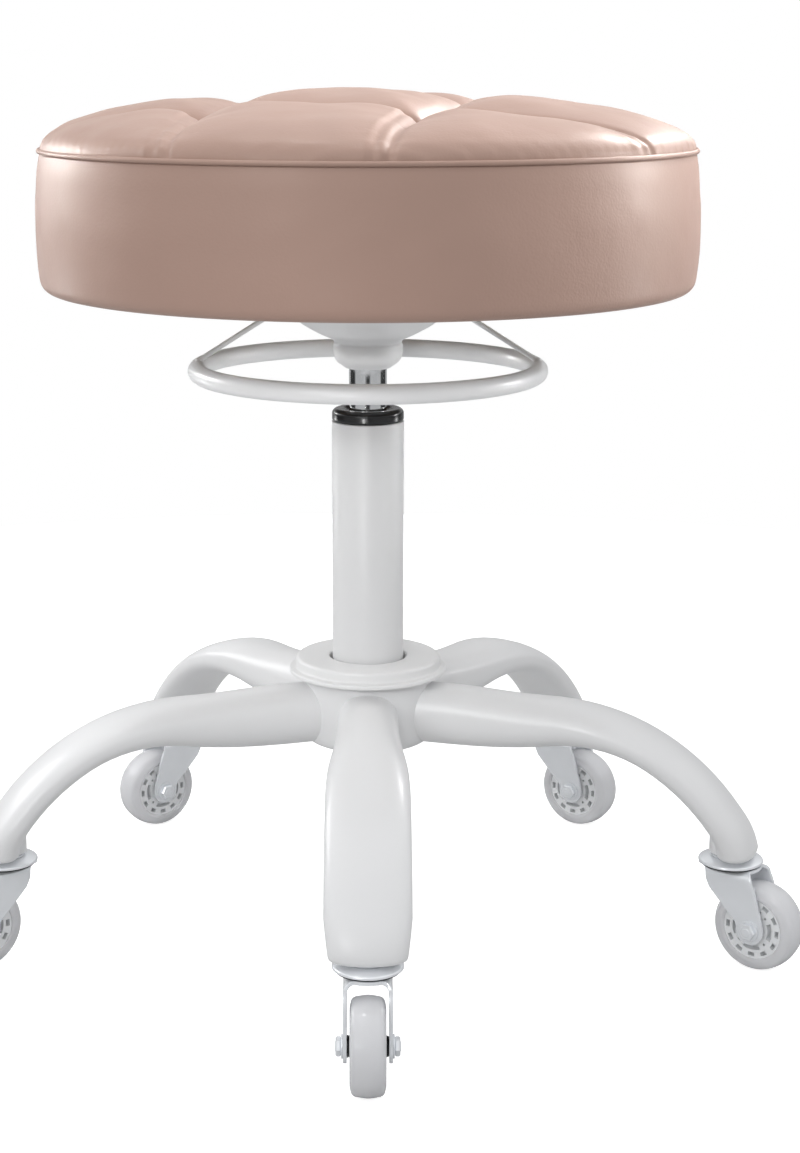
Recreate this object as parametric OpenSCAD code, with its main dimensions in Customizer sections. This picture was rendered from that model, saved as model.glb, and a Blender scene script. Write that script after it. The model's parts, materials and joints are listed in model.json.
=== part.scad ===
// Rolling stylist stool: padded round seat on a gas lift, five-leg caster base.
// Millimetres, +Z up, floor at z = 0, lift axis at x = y = 0, front is -Y.

/* [Seat] */
// Radius of the seat at its side seam
seat_r = 198; // [150:1:250]
// Height of the underside of the seat above the floor, lift fully down
seat_z = 411; // [350:1:500]
// Height of the side band, underside to top seam
band_h = 84; // [40:1:120]
// Rise of the crowned top above the seam
crown = 40; // [5:1:60]
// How far the side band bulges past the seam
band_bulge = 4; // [0:0.5:8]
// Thickness of the cover leather
cover_t = 1.5; // [0.8:0.1:3]
// Radius of the welt cord along the top seam
piping_r = 1.5; // [1:0.1:4]
// Radius of the plywood seat board
board_r = 187; // [120:1:240]
// Thickness of the plywood seat board
board_t = 14; // [8:1:20]
// Side of the square steel plate under the board
plate_side = 150; // [100:1:200]
// Distance of each plate bolt from the centre lines
bolt_offset = 62; // [40:1:90]

/* [Lift] */
// Outer radius of the painted column tube
column_r = 22.5; // [18:0.5:30]
// Wall of the column tube
column_wall = 2; // [1:0.25:4]
// Height of the top of the column tube
column_top = 328; // [250:1:400]
// Radius of the chromed gas cylinder
cylinder_r = 11.8; // [9:0.1:14]
// Height of the lower end of the gas cylinder, lift fully down
cylinder_z0 = 155; // [140:1:200]
// Height of the upper end of the gas cylinder, lift fully down
cylinder_z1 = 396; // [380:1:420]
// Radius of the piston rod
rod_r = 4; // [3:0.1:6]
// Running clearance between sliding parts, per side
run_gap = 0.05; // [0.02:0.01:0.1]

/* [Release ring] */
// Radius of the ring centre line
ring_r = 105.5; // [80:0.5:140]
// Radius of the ring tube
ring_tube_r = 6; // [3:0.5:10]
// Height of the ring centre line
ring_z = 360; // [330:1:400]
// Radius of the two thin spokes
spoke_r = 1.6; // [1:0.1:4]
// Radius of the rocker disc over the valve
rocker_r = 34; // [28:1:40]

/* [Base] */
// Radius of the hub body
hub_r = 42; // [35:1:60]
// Height of the underside of the hub
hub_z = 122; // [80:0.5:180]
// Radius of the hub cover at its rim
hub_rim_r = 50; // [42:1:70]
// Height of the bottom edge of the hub cover
rim_z = 167; // [120:1:200]
// Height of the hub cover
cover_h = 10; // [6:1:20]
// Height of the top of each leg at the hub
leg_top = 161.5; // [120:0.5:200]
// Depth of a leg at the hub
leg_h_hub = 38; // [25:1:50]
// Depth of a leg at its tip
leg_h_tip = 20.5; // [12:0.5:30]
// Width of a leg at the hub
leg_w_hub = 38; // [20:1:40]
// Width of a leg from the bend outwards
leg_w_tip = 49; // [25:1:55]
// Radius of the curve of the top of a leg
leg_bend_r = 150; // [100:1:200]
// Distance from the lift axis to where a leg starts to bend
bend_x = 118; // [80:1:140]
// Radius from the lift axis to each caster stem
caster_x = 236; // [180:1:280]
// Height of the underside of each leg tip
tip_z = 70; // [50:1:90]

/* [Casters] */
// Radius of a caster wheel
wheel_r = 27.5; // [20:0.5:40]
// Width of a caster wheel
wheel_w = 20; // [14:1:30]
// Distance the axle trails behind the stem
trail = 21; // [10:1:30]
// Radius of the stem
stem_r = 5.5; // [4:0.1:8]
// Heading of the left and right casters, degrees towards the front
side_heading = 37; // [0:1:90]

/* [Hidden] */
$fn = 64;
leather = [0.80, 0.68, 0.62];
white = [0.93, 0.93, 0.93];
steel = [0.75, 0.76, 0.78];
black = [0.10, 0.10, 0.10];
rubber = [0.20, 0.20, 0.20];
clear = [0.80, 0.85, 0.85];
wood = [0.76, 0.62, 0.42];
foam_yellow = [0.93, 0.88, 0.70];
brass = [0.80, 0.66, 0.35];

leg_count = 5;
leg_step = 360 / leg_count;
front = -90;
seam_z = seat_z + band_h;
board_z = seat_z + 3;
board_top = board_z + board_t;
inside_r = seat_r - cover_t;
hub_floor_z = hub_z + 5;
hub_floor_t = 4;
race_z = hub_floor_z + hub_floor_t;
race_t = 2;
ball_r = 2;
ball_ring_r = 9;
upper_race_z = race_z + race_t + 2 * ball_r;
stop_z = upper_race_z + race_t;
bush_z = 272;
collar_h = 8;
pivot_y = 25;
disc_z = 401.5;
disc_t = 2.5;
piston_z = 366;
piston_h = 12;
wheel_hub_r = 19;
bearing_r = 7;
axle_r = 3;
axle_half = 18;
cheek_in = wheel_w / 2 + 1.5;
cheek_t = 2;
yoke_z = 61.5;
yoke_r = 20;
yoke_t = 2.5;
cover_hole_r = column_r + 1.8;
race_dome_h = 4.5;
socket_r = 7.5;
socket_depth = 18;

// ---- shared shapes ------------------------------------------------------

function ramp(x, a, b) =
  let (t = min(1, max(0, (x - a) / (b - a)))) t * t * (3 - 2 * t);

// A plain ring or washer
module ring(outer, inner, z, h) {
  translate([0, 0, z])
    difference() {
      cylinder(r = outer, h = h);
      translate([0, 0, -1])
        cylinder(r = inner, h = h + 2);
    }
}

// Leg section at one station: [x, z, tilt, width, depth]
function leg_depth(x) =
  leg_h_hub + (leg_h_tip - leg_h_hub) * ramp(x, hub_r + 8, 195);
function leg_width(x) =
  leg_w_hub + (leg_w_tip - leg_w_hub) * ramp(x, hub_r + 8, 175);
function straight_station(x) =
  let (d = leg_depth(x), top = leg_top - 3 * ramp(x, hub_r + 8, bend_x))
  [x, top - d / 2, 0, leg_width(x), d];
function bend_station(a) =
  let (x = bend_x + leg_bend_r * sin(a), d = leg_depth(x), r = leg_bend_r - d / 2)
  [bend_x + r * sin(a), leg_top - 3 - leg_bend_r + r * cos(a), a, leg_width(x), d];
function section(s, n) = [
  for (i = [0 : n - 1])
    let (a = 360 * i / n, u = s[4] / 2 * sin(a))
    [s[0] + u * sin(s[2]), s[3] / 2 * cos(a), s[1] + u * cos(s[2])]
];

leg_root = 28;
leg_sides = 24;
tip_station = [caster_x + 4, tip_z + 0.8, 90, leg_w_tip - 5, leg_h_tip + 3.5];
stations = concat(
  [for (x = [leg_root, hub_r + 4, hub_r + 18, hub_r + 34, hub_r + 50, hub_r + 64])
    straight_station(x)],
  [for (a = [0 : 6 : 54]) bend_station(a)],
  [tip_station]
);

module leg_loft() {
  n = leg_sides;
  m = len(stations);
  points = [for (s = stations) each section(s, n)];
  walls = [
    for (j = [0 : m - 2], i = [0 : n - 1])
      let (a = j * n + i, b = j * n + (i + 1) % n)
      each [[a, b + n, b], [a, a + n, b + n]]
  ];
  polyhedron(
    points = points,
    faces = concat(
      walls,
      [[for (i = [0 : n - 1]) i]],
      [[for (i = [n - 1 : -1 : 0]) (m - 1) * n + i]]
    ),
    convexity = 4
  );
}

// Round boss under the leg tip, trimmed to the curve of the leg
module tip_boss() {
  intersection() {
    translate([caster_x, 0, tip_z])
      cylinder(r = 13.5, h = 30);
    translate([bend_x, 0, leg_top - 3 - leg_bend_r])
      rotate([90, 0, 0])
        cylinder(r = leg_bend_r - 4, h = 40, center = true);
  }
}

module leg(i) {
  color(white)
    rotate([0, 0, front + i * leg_step])
      difference() {
        union() {
          leg_loft();
          tip_boss();
        }
        translate([caster_x, 0, tip_z - 1])
          cylinder(r = socket_r, h = socket_depth + 1);
      }
}

// Straight bar with the section of a leg root, used to cut the hub pockets
module leg_root_bar() {
  s = straight_station(leg_root);
  translate([leg_root, 0, s[1]])
    rotate([90, 0, 90])
      linear_extrude(height = 30)
        polygon([
          for (i = [0 : leg_sides - 1])
            let (a = 360 * i / leg_sides)
            [s[3] / 2 * cos(a), s[4] / 2 * sin(a)]
        ]);
}

// Moves its children from a caster's own frame to leg i, stem axis at the origin
module at_caster(i, heading) {
  a = front + i * leg_step;
  translate([caster_x * cos(a), caster_x * sin(a), 0])
    rotate([0, 0, heading])
      children();
}

// ---- base ---------------------------------------------------------------

module hub_body() {
  color(white)
    difference() {
      translate([0, 0, hub_z])
        cylinder(r = hub_r, h = rim_z - hub_z);
      // bore the column tube stands in
      translate([0, 0, race_z])
        cylinder(r = column_r, h = rim_z);
      // recess under the floor for the rod end
      translate([0, 0, hub_z - 1])
        cylinder(r = 16, h = hub_floor_z - hub_z + 1);
      // hole for the rod
      translate([0, 0, hub_z])
        cylinder(r = rod_r + run_gap, h = 20);
      for (i = [0 : leg_count - 1])
        rotate([0, 0, front + i * leg_step])
          leg_root_bar();
    }
}

module hub_cover() {
  color(white)
    rotate_extrude($fn = 96)
      difference() {
        union() {
          translate([column_r, rim_z])
            square([hub_rim_r - column_r, 3]);
          translate([cover_hole_r, rim_z])
            square([hub_rim_r - 9 - cover_hole_r, cover_h]);
          translate([cover_hole_r, rim_z])
            square([hub_rim_r - 4 - cover_hole_r, cover_h - 5]);
          translate([hub_rim_r - 9, rim_z + cover_h - 5])
            circle(r = 5);
        }
        // hollow below
        translate([cover_hole_r + 3, rim_z - 1])
          square([hub_r - cover_hole_r - 7, cover_h - 3]);
      }
}

module leg_front() leg(0);
module leg_front_right() leg(1);
module leg_back_right() leg(2);
module leg_back_left() leg(3);
module leg_front_left() leg(4);

module caster_sockets() {
  color(black)
    for (i = [0 : leg_count - 1])
      at_caster(i, 0)
        ring(socket_r, stem_r, tip_z, socket_depth);
}

// Stem pressed into the socket, flange under the tip, head under the yoke
module caster_stems() {
  color(steel)
    for (i = [0 : leg_count - 1])
      at_caster(i, 0) {
        translate([0, 0, yoke_z - 2.5])
          cylinder(r = stem_r, h = tip_z - yoke_z + 2.5 + socket_depth - 1);
        translate([0, 0, yoke_z - 2.8])
          cylinder(r = 8, h = 2.5);
        translate([0, 0, tip_z - 1.2])
          cylinder(r = 12, h = 1.2);
      }
}

module column_tube() {
  color(white)
    ring(column_r, column_r - column_wall, race_z, column_top - race_z);
}

module guide_bush() {
  color(black)
    difference() {
      union() {
        translate([0, 0, bush_z])
          cylinder(r = column_r - column_wall, h = column_top - bush_z);
        translate([0, 0, column_top])
          cylinder(r = column_r, h = collar_h - 1.5);
        translate([0, 0, column_top + collar_h - 1.5])
          cylinder(r1 = column_r, r2 = column_r - 1.5, h = 1.5);
      }
      translate([0, 0, bush_z - 1])
        cylinder(r = cylinder_r + run_gap, h = column_top - bush_z + collar_h + 2);
    }
}

module race_lower() {
  color(steel)
    ring(ball_ring_r + 4, rod_r + run_gap, race_z, race_t);
}

// ---- thrust bearing -----------------------------------------------------

module thrust_balls() {
  ball_count = 8;
  mid = race_z + race_t + ball_r;
  color(brass)
    difference() {
      ring(ball_ring_r + 3, ball_ring_r - 3, mid - 0.6, 1.2);
      for (i = [0 : ball_count - 1])
        rotate([0, 0, i * 360 / ball_count])
          translate([ball_ring_r, 0, mid - 2])
            cylinder(r = ball_r + 0.1, h = 4);
    }
  color(steel)
    for (i = [0 : ball_count - 1])
      rotate([0, 0, i * 360 / ball_count])
        translate([ball_ring_r, 0, mid])
          sphere(r = ball_r - run_gap);
}

// ---- piston rod ---------------------------------------------------------

module piston_rod() {
  color(steel)
    translate([0, 0, hub_z + 0.5])
      cylinder(r = rod_r, h = piston_z + piston_h - hub_z - 0.5);
}

module piston() {
  color(rubber)
    ring(cylinder_r - 1.6 - run_gap, rod_r, piston_z, piston_h);
}

module race_upper() {
  color(steel)
    ring(ball_ring_r + 4, rod_r, upper_race_z, race_t);
}

module bump_stop() {
  color(rubber)
    ring(cylinder_r, rod_r, stop_z, 10);
}

module retaining_clip() {
  color(steel)
    ring(9, rod_r, hub_floor_z - 2.2, 2);
}

// ---- seat ---------------------------------------------------------------

module gas_cylinder() {
  color(steel)
    difference() {
      translate([0, 0, cylinder_z0])
        cylinder(r = cylinder_r, h = cylinder_z1 - cylinder_z0);
      translate([0, 0, cylinder_z0 - 1])
        cylinder(r = cylinder_r - 1.6, h = cylinder_z1 - cylinder_z0 - 3);
      translate([0, 0, cylinder_z0])
        cylinder(r = 3 + run_gap, h = cylinder_z1);
    }
}

module cylinder_end() {
  color(black)
    ring(cylinder_r - 1.6, rod_r + run_gap, cylinder_z0, 14);
}

module seat_plate() {
  corner = 10;
  half = plate_side / 2;
  color(steel)
    difference() {
      union() {
        translate([-half + corner, -half, seat_z])
          cube([plate_side - 2 * corner, plate_side, 3]);
        translate([-half, -half + corner, seat_z])
          cube([plate_side, plate_side - 2 * corner, 3]);
        for (x = [-1, 1], y = [-1, 1])
          translate([x * (half - corner), y * (half - corner), seat_z])
            cylinder(r = corner, h = 3);
        // fulcrum ring the rocker disc tilts against
        ring(pivot_y + 2, pivot_y - 2, disc_z + disc_t + 0.3, seat_z - disc_z - disc_t);
      }
      for (x = [-1, 1], y = [-1, 1])
        translate([x * bolt_offset, y * bolt_offset, seat_z - 1])
          cylinder(r = 3.2, h = 5);
    }
}

// Bell under the plate, a cup at its foot gripping the gas cylinder
module bell_housing() {
  cup_z = 361;
  color(white)
    difference() {
      rotate_extrude($fn = 96)
        polygon([
          [cylinder_r, cup_z], [13, cup_z], [16, cup_z + 1.5], [19.6, cup_z + 4.5],
          [21.5, cup_z + 8], [21.5, cup_z + 14.5], [20.5, cup_z + 16], [22, cup_z + 18],
          [27, cup_z + 20.5], [38.5, cup_z + 26], [50, cup_z + 34], [60, cup_z + 43],
          [62, cup_z + 45], [62, seat_z], [59, seat_z], [56.5, cup_z + 42],
          [47, cup_z + 35], [36.5, cup_z + 28], [25.5, cup_z + 23.5], [14.5, cup_z + 22],
          [14.5, cylinder_z1 - 2], [cylinder_r, cylinder_z1 - 2]
        ]);
      // slots the two spokes pass through
      for (side = [0, 180])
        rotate([0, 0, side])
          translate([30, -5, disc_z - 14])
            cube([40, 10, seat_z - disc_z + 16]);
    }
}

module plate_bolts() {
  color(steel)
    for (x = [-1, 1], y = [-1, 1])
      translate([x * bolt_offset, y * bolt_offset, 0]) {
        translate([0, 0, seat_z])
          cylinder(r = 3, h = board_t + 1);
        difference() {
          translate([0, 0, seat_z - 4])
            cylinder(r = 5.5, h = 4, $fn = 6);
          translate([0, 0, seat_z - 5])
            cylinder(r = 1.5, h = 2);
        }
      }
}

module tee_nuts() {
  color(steel)
    for (x = [-1, 1], y = [-1, 1])
      translate([x * bolt_offset, y * bolt_offset, 0]) {
        ring(4.5, 3, board_top - 9, 9);
        ring(10, 3, board_top, 1.2);
      }
}

module seat_board() {
  color(wood)
    difference() {
      translate([0, 0, board_z])
        cylinder(r = board_r, h = board_t);
      for (x = [-1, 1], y = [-1, 1])
        translate([x * bolt_offset, y * bolt_offset, board_z - 1]) {
          cylinder(r = 3.2, h = board_t + 2);
          translate([0, 0, board_t - 8])
            cylinder(r = 4.5, h = 12);
        }
    }
}

// Crown of the cushion as points from the seam to the middle, lowered by `drop`
function crown_line(drop, reach, n) = [
  for (i = [0 : n])
    let (a = 90 * i / n)
    [reach * cos(a), seam_z - drop + crown * pow(sin(a), 0.8)]
];
function band_line(reach, z0, z1, n) = [
  for (i = [0 : n])
    let (t = i / n)
    [reach + band_bulge * sin(180 * t), z0 + (z1 - z0) * t]
];

module seat_foam() {
  color(foam_yellow)
    difference() {
      rotate_extrude($fn = 96)
        polygon(concat(
          [[0, board_top]],
          [[board_r, board_top], [board_r, board_z]],
          band_line(inside_r - 0.5, board_z, seam_z - 4, 8),
          crown_line(cover_t + 2, inside_r - 3, 12)
        ));
      for (x = [-1, 1], y = [-1, 1])
        translate([x * bolt_offset, y * bolt_offset, board_top - 1])
          cylinder(r = 10.5, h = 3);
    }
}

module seat_top_cover() {
  color(leather)
    rotate_extrude($fn = 96)
      polygon(concat(
        crown_line(0, seat_r - 2, 14),
        reverse(crown_line(cover_t, seat_r - 2 - cover_t, 14))
      ));
}

function reverse(list) = [for (i = [len(list) - 1 : -1 : 0]) list[i]];

module seat_side_band() {
  color(leather)
    rotate_extrude($fn = 96)
      polygon(concat(
        band_line(seat_r, seat_z + 3, seam_z - 2.4, 10),
        reverse(band_line(seat_r - cover_t, seat_z + cover_t, seam_z - 2.4, 10)),
        [[board_r - 12, seat_z + cover_t], [board_r - 12, seat_z], [seat_r - 3, seat_z]]
      ));
}

module seat_piping() {
  color(leather)
    rotate_extrude($fn = 96)
      translate([seat_r - 0.3, seam_z - 0.8])
        circle(r = piping_r, $fn = 24);
}

module dust_cover() {
  color(black)
    ring(board_r - 12.2, plate_side / 2 * sqrt(2) + 2, seat_z + 2, 1);
}

// ---- release ring -------------------------------------------------------

module release_ring() {
  color(white)
    rotate_extrude($fn = 128)
      translate([ring_r, ring_z])
        circle(r = ring_tube_r, $fn = 32);
}

// Two spokes rising from the top of the ring, bent level where they reach the rocker disc
module ring_spokes() {
  elbow_r = 46;
  run = ring_r - elbow_r;
  rise = disc_z + disc_t / 2 - ring_z - ring_tube_r + 0.8;
  length = sqrt(run * run + rise * rise);
  slope = atan2(run, rise);
  color(white)
    difference() {
      for (side = [0, 180])
        rotate([0, 0, side])
          translate([elbow_r, 0, disc_z + disc_t / 2]) {
            rotate([0, 180 - slope, 0])
              cylinder(r = spoke_r, h = length);
            sphere(r = spoke_r + 0.2);
            translate([rocker_r - elbow_r - 0.5, 0, 0])
              rotate([0, 90, 0])
                cylinder(r = spoke_r - 0.1, h = elbow_r - rocker_r + 0.5);
          }
      rotate_extrude($fn = 128)
        translate([ring_r, ring_z])
          circle(r = ring_tube_r, $fn = 32);
      translate([0, 0, disc_z])
        cylinder(r = rocker_r, h = disc_t);
    }
}

module rocker_disc() {
  color(steel)
    translate([0, 0, disc_z])
      cylinder(r = rocker_r, h = disc_t);
}

module valve_pin() {
  color(brass)
    translate([0, 0, cylinder_z1 - 8])
      cylinder(r = 3, h = disc_z - cylinder_z1 + 8 - 0.05);
}

// ---- casters ------------------------------------------------------------

module fork(i, heading) {
  color(steel)
    at_caster(i, heading)
      difference() {
        union() {
          translate([0, 0, yoke_z])
            cylinder(r = yoke_r, h = yoke_t);
          translate([0, 0, yoke_z + yoke_t])
            cylinder(r1 = 16, r2 = 13, h = race_dome_h);
          for (y = [-cheek_in - cheek_t, cheek_in])
            translate([0, y + cheek_t, 0])
              rotate([90, 0, 0])
                linear_extrude(height = cheek_t) {
                  polygon([
                    [-10, yoke_z + yoke_t], [15, yoke_z + yoke_t], [22, yoke_z - 4],
                    [trail + 9, wheel_r + 3], [trail + 9, wheel_r], [trail - 9, wheel_r],
                    [trail - 9, wheel_r + 3], [-10, yoke_z - 8]
                  ]);
                  translate([trail, wheel_r])
                    circle(r = 9);
                }
        }
        translate([0, 0, yoke_z - 1])
          cylinder(r = stem_r + run_gap, h = 12);
        translate([trail, 0, wheel_r])
          rotate([90, 0, 0])
            cylinder(r = axle_r, h = 60, center = true);
      }
}

// Hex bolt through both cheeks with a nut on the far side
module axle(i, heading) {
  face = cheek_in + cheek_t;
  color(steel)
    at_caster(i, heading)
      translate([trail, 0, wheel_r])
        rotate([90, 0, 0]) {
          cylinder(r = axle_r, h = 2 * axle_half, center = true);
          for (side = [-1, 1])
            translate([0, 0, side * (face + 1.75)])
              cylinder(r = 5.5, h = 3.5, center = true, $fn = 6);
        }
}

module in_wheel(i, heading) {
  at_caster(i, heading)
    translate([trail, 0, wheel_r])
      rotate([90, 0, 0])
        children();
}

module tyre(i, heading) {
  half = wheel_w / 2;
  soft = 7.5;
  color(clear)
    in_wheel(i, heading)
      rotate_extrude($fn = 96)
        intersection() {
          translate([wheel_hub_r, -half])
            square([wheel_r - wheel_hub_r, wheel_w]);
          union() {
            translate([wheel_hub_r, -half])
              square([wheel_r - wheel_hub_r - soft, wheel_w]);
            translate([wheel_hub_r, -half + soft])
              square([wheel_r - wheel_hub_r, wheel_w - 2 * soft]);
            for (y = [-half + soft, half - soft])
              translate([wheel_r - soft, y])
                circle(r = soft);
          }
        }
}

module wheel_core(i, heading) {
  half = wheel_w / 2 - 1;
  color(rubber)
    in_wheel(i, heading)
      difference() {
        rotate_extrude($fn = 96)
          difference() {
            translate([bearing_r, -half])
              square([wheel_hub_r - bearing_r, 2 * half]);
            for (y = [-half - 1, 4])
              translate([bearing_r + 2, y])
                square([wheel_hub_r - bearing_r - 4, half - 3]);
          }
        for (k = [0 : 3])
          rotate([0, 0, 90 * k])
            translate([(wheel_hub_r + bearing_r) / 2, 0, -wheel_w])
              cylinder(r = 2, h = 2 * wheel_w);
      }
}

module wheel_bearings(i, heading) {
  color(steel)
    in_wheel(i, heading)
      for (y = [-wheel_w / 2 + 1, wheel_w / 2 - 5])
        ring(bearing_r, axle_r + run_gap, y, 4);
}

front_heading = front;
right_heading = -side_heading;
left_heading = 180 + side_heading;

module fork_front() fork(0, front_heading);
module axle_front() axle(0, front_heading);
module tyre_front() tyre(0, front_heading);
module wheel_core_front() wheel_core(0, front_heading);
module wheel_bearings_front() wheel_bearings(0, front_heading);

module fork_front_right() fork(1, right_heading);
module axle_front_right() axle(1, right_heading);
module tyre_front_right() tyre(1, right_heading);
module wheel_core_front_right() wheel_core(1, right_heading);
module wheel_bearings_front_right() wheel_bearings(1, right_heading);

module fork_back_right() fork(2, right_heading);
module axle_back_right() axle(2, right_heading);
module tyre_back_right() tyre(2, right_heading);
module wheel_core_back_right() wheel_core(2, right_heading);
module wheel_bearings_back_right() wheel_bearings(2, right_heading);

module fork_back_left() fork(3, left_heading);
module axle_back_left() axle(3, left_heading);
module tyre_back_left() tyre(3, left_heading);
module wheel_core_back_left() wheel_core(3, left_heading);
module wheel_bearings_back_left() wheel_bearings(3, left_heading);

module fork_front_left() fork(4, left_heading);
module axle_front_left() axle(4, left_heading);
module tyre_front_left() tyre(4, left_heading);
module wheel_core_front_left() wheel_core(4, left_heading);
module wheel_bearings_front_left() wheel_bearings(4, left_heading);

// ---- output -------------------------------------------------------------

hub_body();
hub_cover();
leg_front();
leg_front_right();
leg_back_right();
leg_back_left();
leg_front_left();
caster_sockets();
caster_stems();
column_tube();
guide_bush();
race_lower();
thrust_balls();
piston_rod();
piston();
race_upper();
bump_stop();
retaining_clip();
gas_cylinder();
cylinder_end();
seat_plate();
bell_housing();
plate_bolts();
tee_nuts();
seat_board();
seat_foam();
seat_top_cover();
seat_side_band();
seat_piping();
dust_cover();
release_ring();
ring_spokes();
rocker_disc();
valve_pin();
fork_front();
axle_front();
tyre_front();
wheel_core_front();
wheel_bearings_front();
fork_front_right();
axle_front_right();
tyre_front_right();
wheel_core_front_right();
wheel_bearings_front_right();
fork_back_right();
axle_back_right();
tyre_back_right();
wheel_core_back_right();
wheel_bearings_back_right();
fork_back_left();
axle_back_left();
tyre_back_left();
wheel_core_back_left();
wheel_bearings_back_left();
fork_front_left();
axle_front_left();
tyre_front_left();
wheel_core_front_left();
wheel_bearings_front_left();
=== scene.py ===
# Looks of the rolling stylist stool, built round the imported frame.
# Shapes are written in millimetres and scaled to metres as each mesh is made.
# +Z is up, the front is -Y, and the lift axis is x = y = 0.
import json
import math

import bmesh
import bpy
import numpy as np
from mathutils import Matrix, Vector, noise


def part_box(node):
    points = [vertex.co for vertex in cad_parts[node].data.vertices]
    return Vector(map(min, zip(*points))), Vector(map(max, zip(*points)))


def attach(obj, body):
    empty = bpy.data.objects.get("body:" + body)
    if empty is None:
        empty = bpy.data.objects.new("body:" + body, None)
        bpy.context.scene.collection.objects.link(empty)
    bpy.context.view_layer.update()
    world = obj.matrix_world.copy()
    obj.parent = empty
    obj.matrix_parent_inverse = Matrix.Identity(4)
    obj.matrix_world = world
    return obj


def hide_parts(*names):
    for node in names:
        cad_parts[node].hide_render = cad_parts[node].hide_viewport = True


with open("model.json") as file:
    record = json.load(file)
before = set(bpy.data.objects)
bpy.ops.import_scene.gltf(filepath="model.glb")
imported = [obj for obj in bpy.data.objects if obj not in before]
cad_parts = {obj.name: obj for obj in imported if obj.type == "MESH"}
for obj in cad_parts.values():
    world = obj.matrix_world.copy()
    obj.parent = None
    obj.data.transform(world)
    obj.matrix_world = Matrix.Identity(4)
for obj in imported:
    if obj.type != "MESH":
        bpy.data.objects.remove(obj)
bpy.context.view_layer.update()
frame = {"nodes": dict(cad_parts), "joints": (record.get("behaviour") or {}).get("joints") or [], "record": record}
MM = 0.001
scene = bpy.context.scene


def box_mm(node):
    low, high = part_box(node)
    return low / MM, high / MM


# ---- mesh helpers ------------------------------------------------------------


def rounded(points, setback, steps=4):
    """A closed outline with each corner rounded; setback is one number or one for each corner."""
    out = []
    for i, corner in enumerate(points):
        here = Vector(corner)
        before, after = Vector(points[i - 1]), Vector(points[(i + 1) % len(points)])
        reach = setback[i] if isinstance(setback, (list, tuple)) else setback
        reach = min(reach, 0.48 * (before - here).length, 0.48 * (after - here).length)
        if reach < 1e-3:
            out.append(tuple(here))
            continue
        start = here + (before - here).normalized() * reach
        end = here + (after - here).normalized() * reach
        for k in range(steps + 1):
            t = k / steps
            out.append(tuple(start * (1 - t) ** 2 + here * (2 * t * (1 - t)) + end * t * t))
    return out


def spin(outline, turns=144, about="Z"):
    """Points and faces of a closed (radius, height) outline turned about an axis."""
    m = len(outline)
    points = []
    for k in range(turns):
        c, s = math.cos(2 * math.pi * k / turns), math.sin(2 * math.pi * k / turns)
        for r, h in outline:
            points.append((r * c, r * s, h) if about == "Z" else (r * c, h, r * s))
    faces = []
    for k in range(turns):
        a, b = k * m, (k + 1) % turns * m
        faces += [(a + i, b + i, b + (i + 1) % m, a + (i + 1) % m) for i in range(m)]
    return points, faces


def loft(rings, closed_ends=True):
    """Points and faces of a skin over rings that all have the same number of points."""
    n = len(rings[0])
    points = [p for ring in rings for p in ring]
    faces = []
    for j in range(len(rings) - 1):
        a, b = j * n, (j + 1) * n
        faces += [(a + i, a + (i + 1) % n, b + (i + 1) % n, b + i) for i in range(n)]
    if closed_ends:
        faces += [tuple(range(n)), tuple(range(len(points) - n, len(points)))]
    return points, faces


def rod(start, end, radius, sides=20):
    """Points and faces of a straight round bar."""
    a, b = Vector(start), Vector(end)
    turn = (b - a).to_track_quat("Z", "Y")
    rings = []
    for base in (a, b):
        ring = [Vector((radius * math.cos(2 * math.pi * i / sides),
                        radius * math.sin(2 * math.pi * i / sides), 0)) for i in range(sides)]
        rings.append([tuple(base + turn @ p) for p in ring])
    return loft(rings)


def blob(centre, size, sides=20, rows=10):
    """Points and faces of a small rounded lump, such as a weld bead."""
    rings = []
    for j in range(1, rows):
        a = math.pi * j / rows
        rings.append([(centre[0] + size[0] * math.sin(a) * math.cos(2 * math.pi * i / sides),
                       centre[1] + size[1] * math.sin(a) * math.sin(2 * math.pi * i / sides),
                       centre[2] + size[2] * math.cos(a)) for i in range(sides)])
    return loft(rings)


def hexagon(radius, y0, y1, chamfer=0.7):
    """Points and faces of a chamfered hexagon along Y."""
    rings = []
    inner = radius - chamfer
    for y, r in ((y0, inner), (y0 + chamfer, radius), (y1 - chamfer, radius), (y1, inner)):
        corners = [math.radians(60 * i) for i in range(6)]
        rings.append([(r * math.cos(a), y, r * math.sin(a)) for a in corners])
    return loft(rings)


def circle(radius, height, tube, sides):
    """The round section of a ring, as a (radius, height) outline."""
    turns = [2 * math.pi * i / sides for i in range(sides)]
    return [(radius + tube * math.cos(a), height + tube * math.sin(a)) for a in turns]


def joined(*parts):
    """Several (points, faces) pairs as one."""
    points, faces = [], []
    for more_points, more_faces in parts:
        faces += [tuple(i + len(points) for i in face) for face in more_faces]
        points += more_points
    return points, faces


def moved(shape, offset):
    points, faces = shape
    return [tuple(Vector(p) + Vector(offset)) for p in points], faces


def piece(name, shape, look, body, stands_for=(), crease=38, place=None):
    """One visible piece: a mesh that rides a body and takes the finish of a material slot."""
    points, faces = shape
    mesh = bpy.data.meshes.new(name)
    mesh.from_pydata([Vector(p) * MM for p in points], [], faces)
    work = bmesh.new()
    work.from_mesh(mesh)
    bmesh.ops.remove_doubles(work, verts=work.verts, dist=1e-6)
    bmesh.ops.recalc_face_normals(work, faces=work.faces)
    work.to_mesh(mesh)
    work.free()
    if place is not None:
        mesh.transform(place)
    mesh.shade_smooth()
    mesh.set_sharp_from_angle(angle=math.radians(crease))
    mesh.materials.append(looks[look])
    made = bpy.data.objects.new(name, mesh)
    scene.collection.objects.link(made)
    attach(made, body)
    if stands_for:
        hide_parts(*stands_for)
    return made


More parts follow.
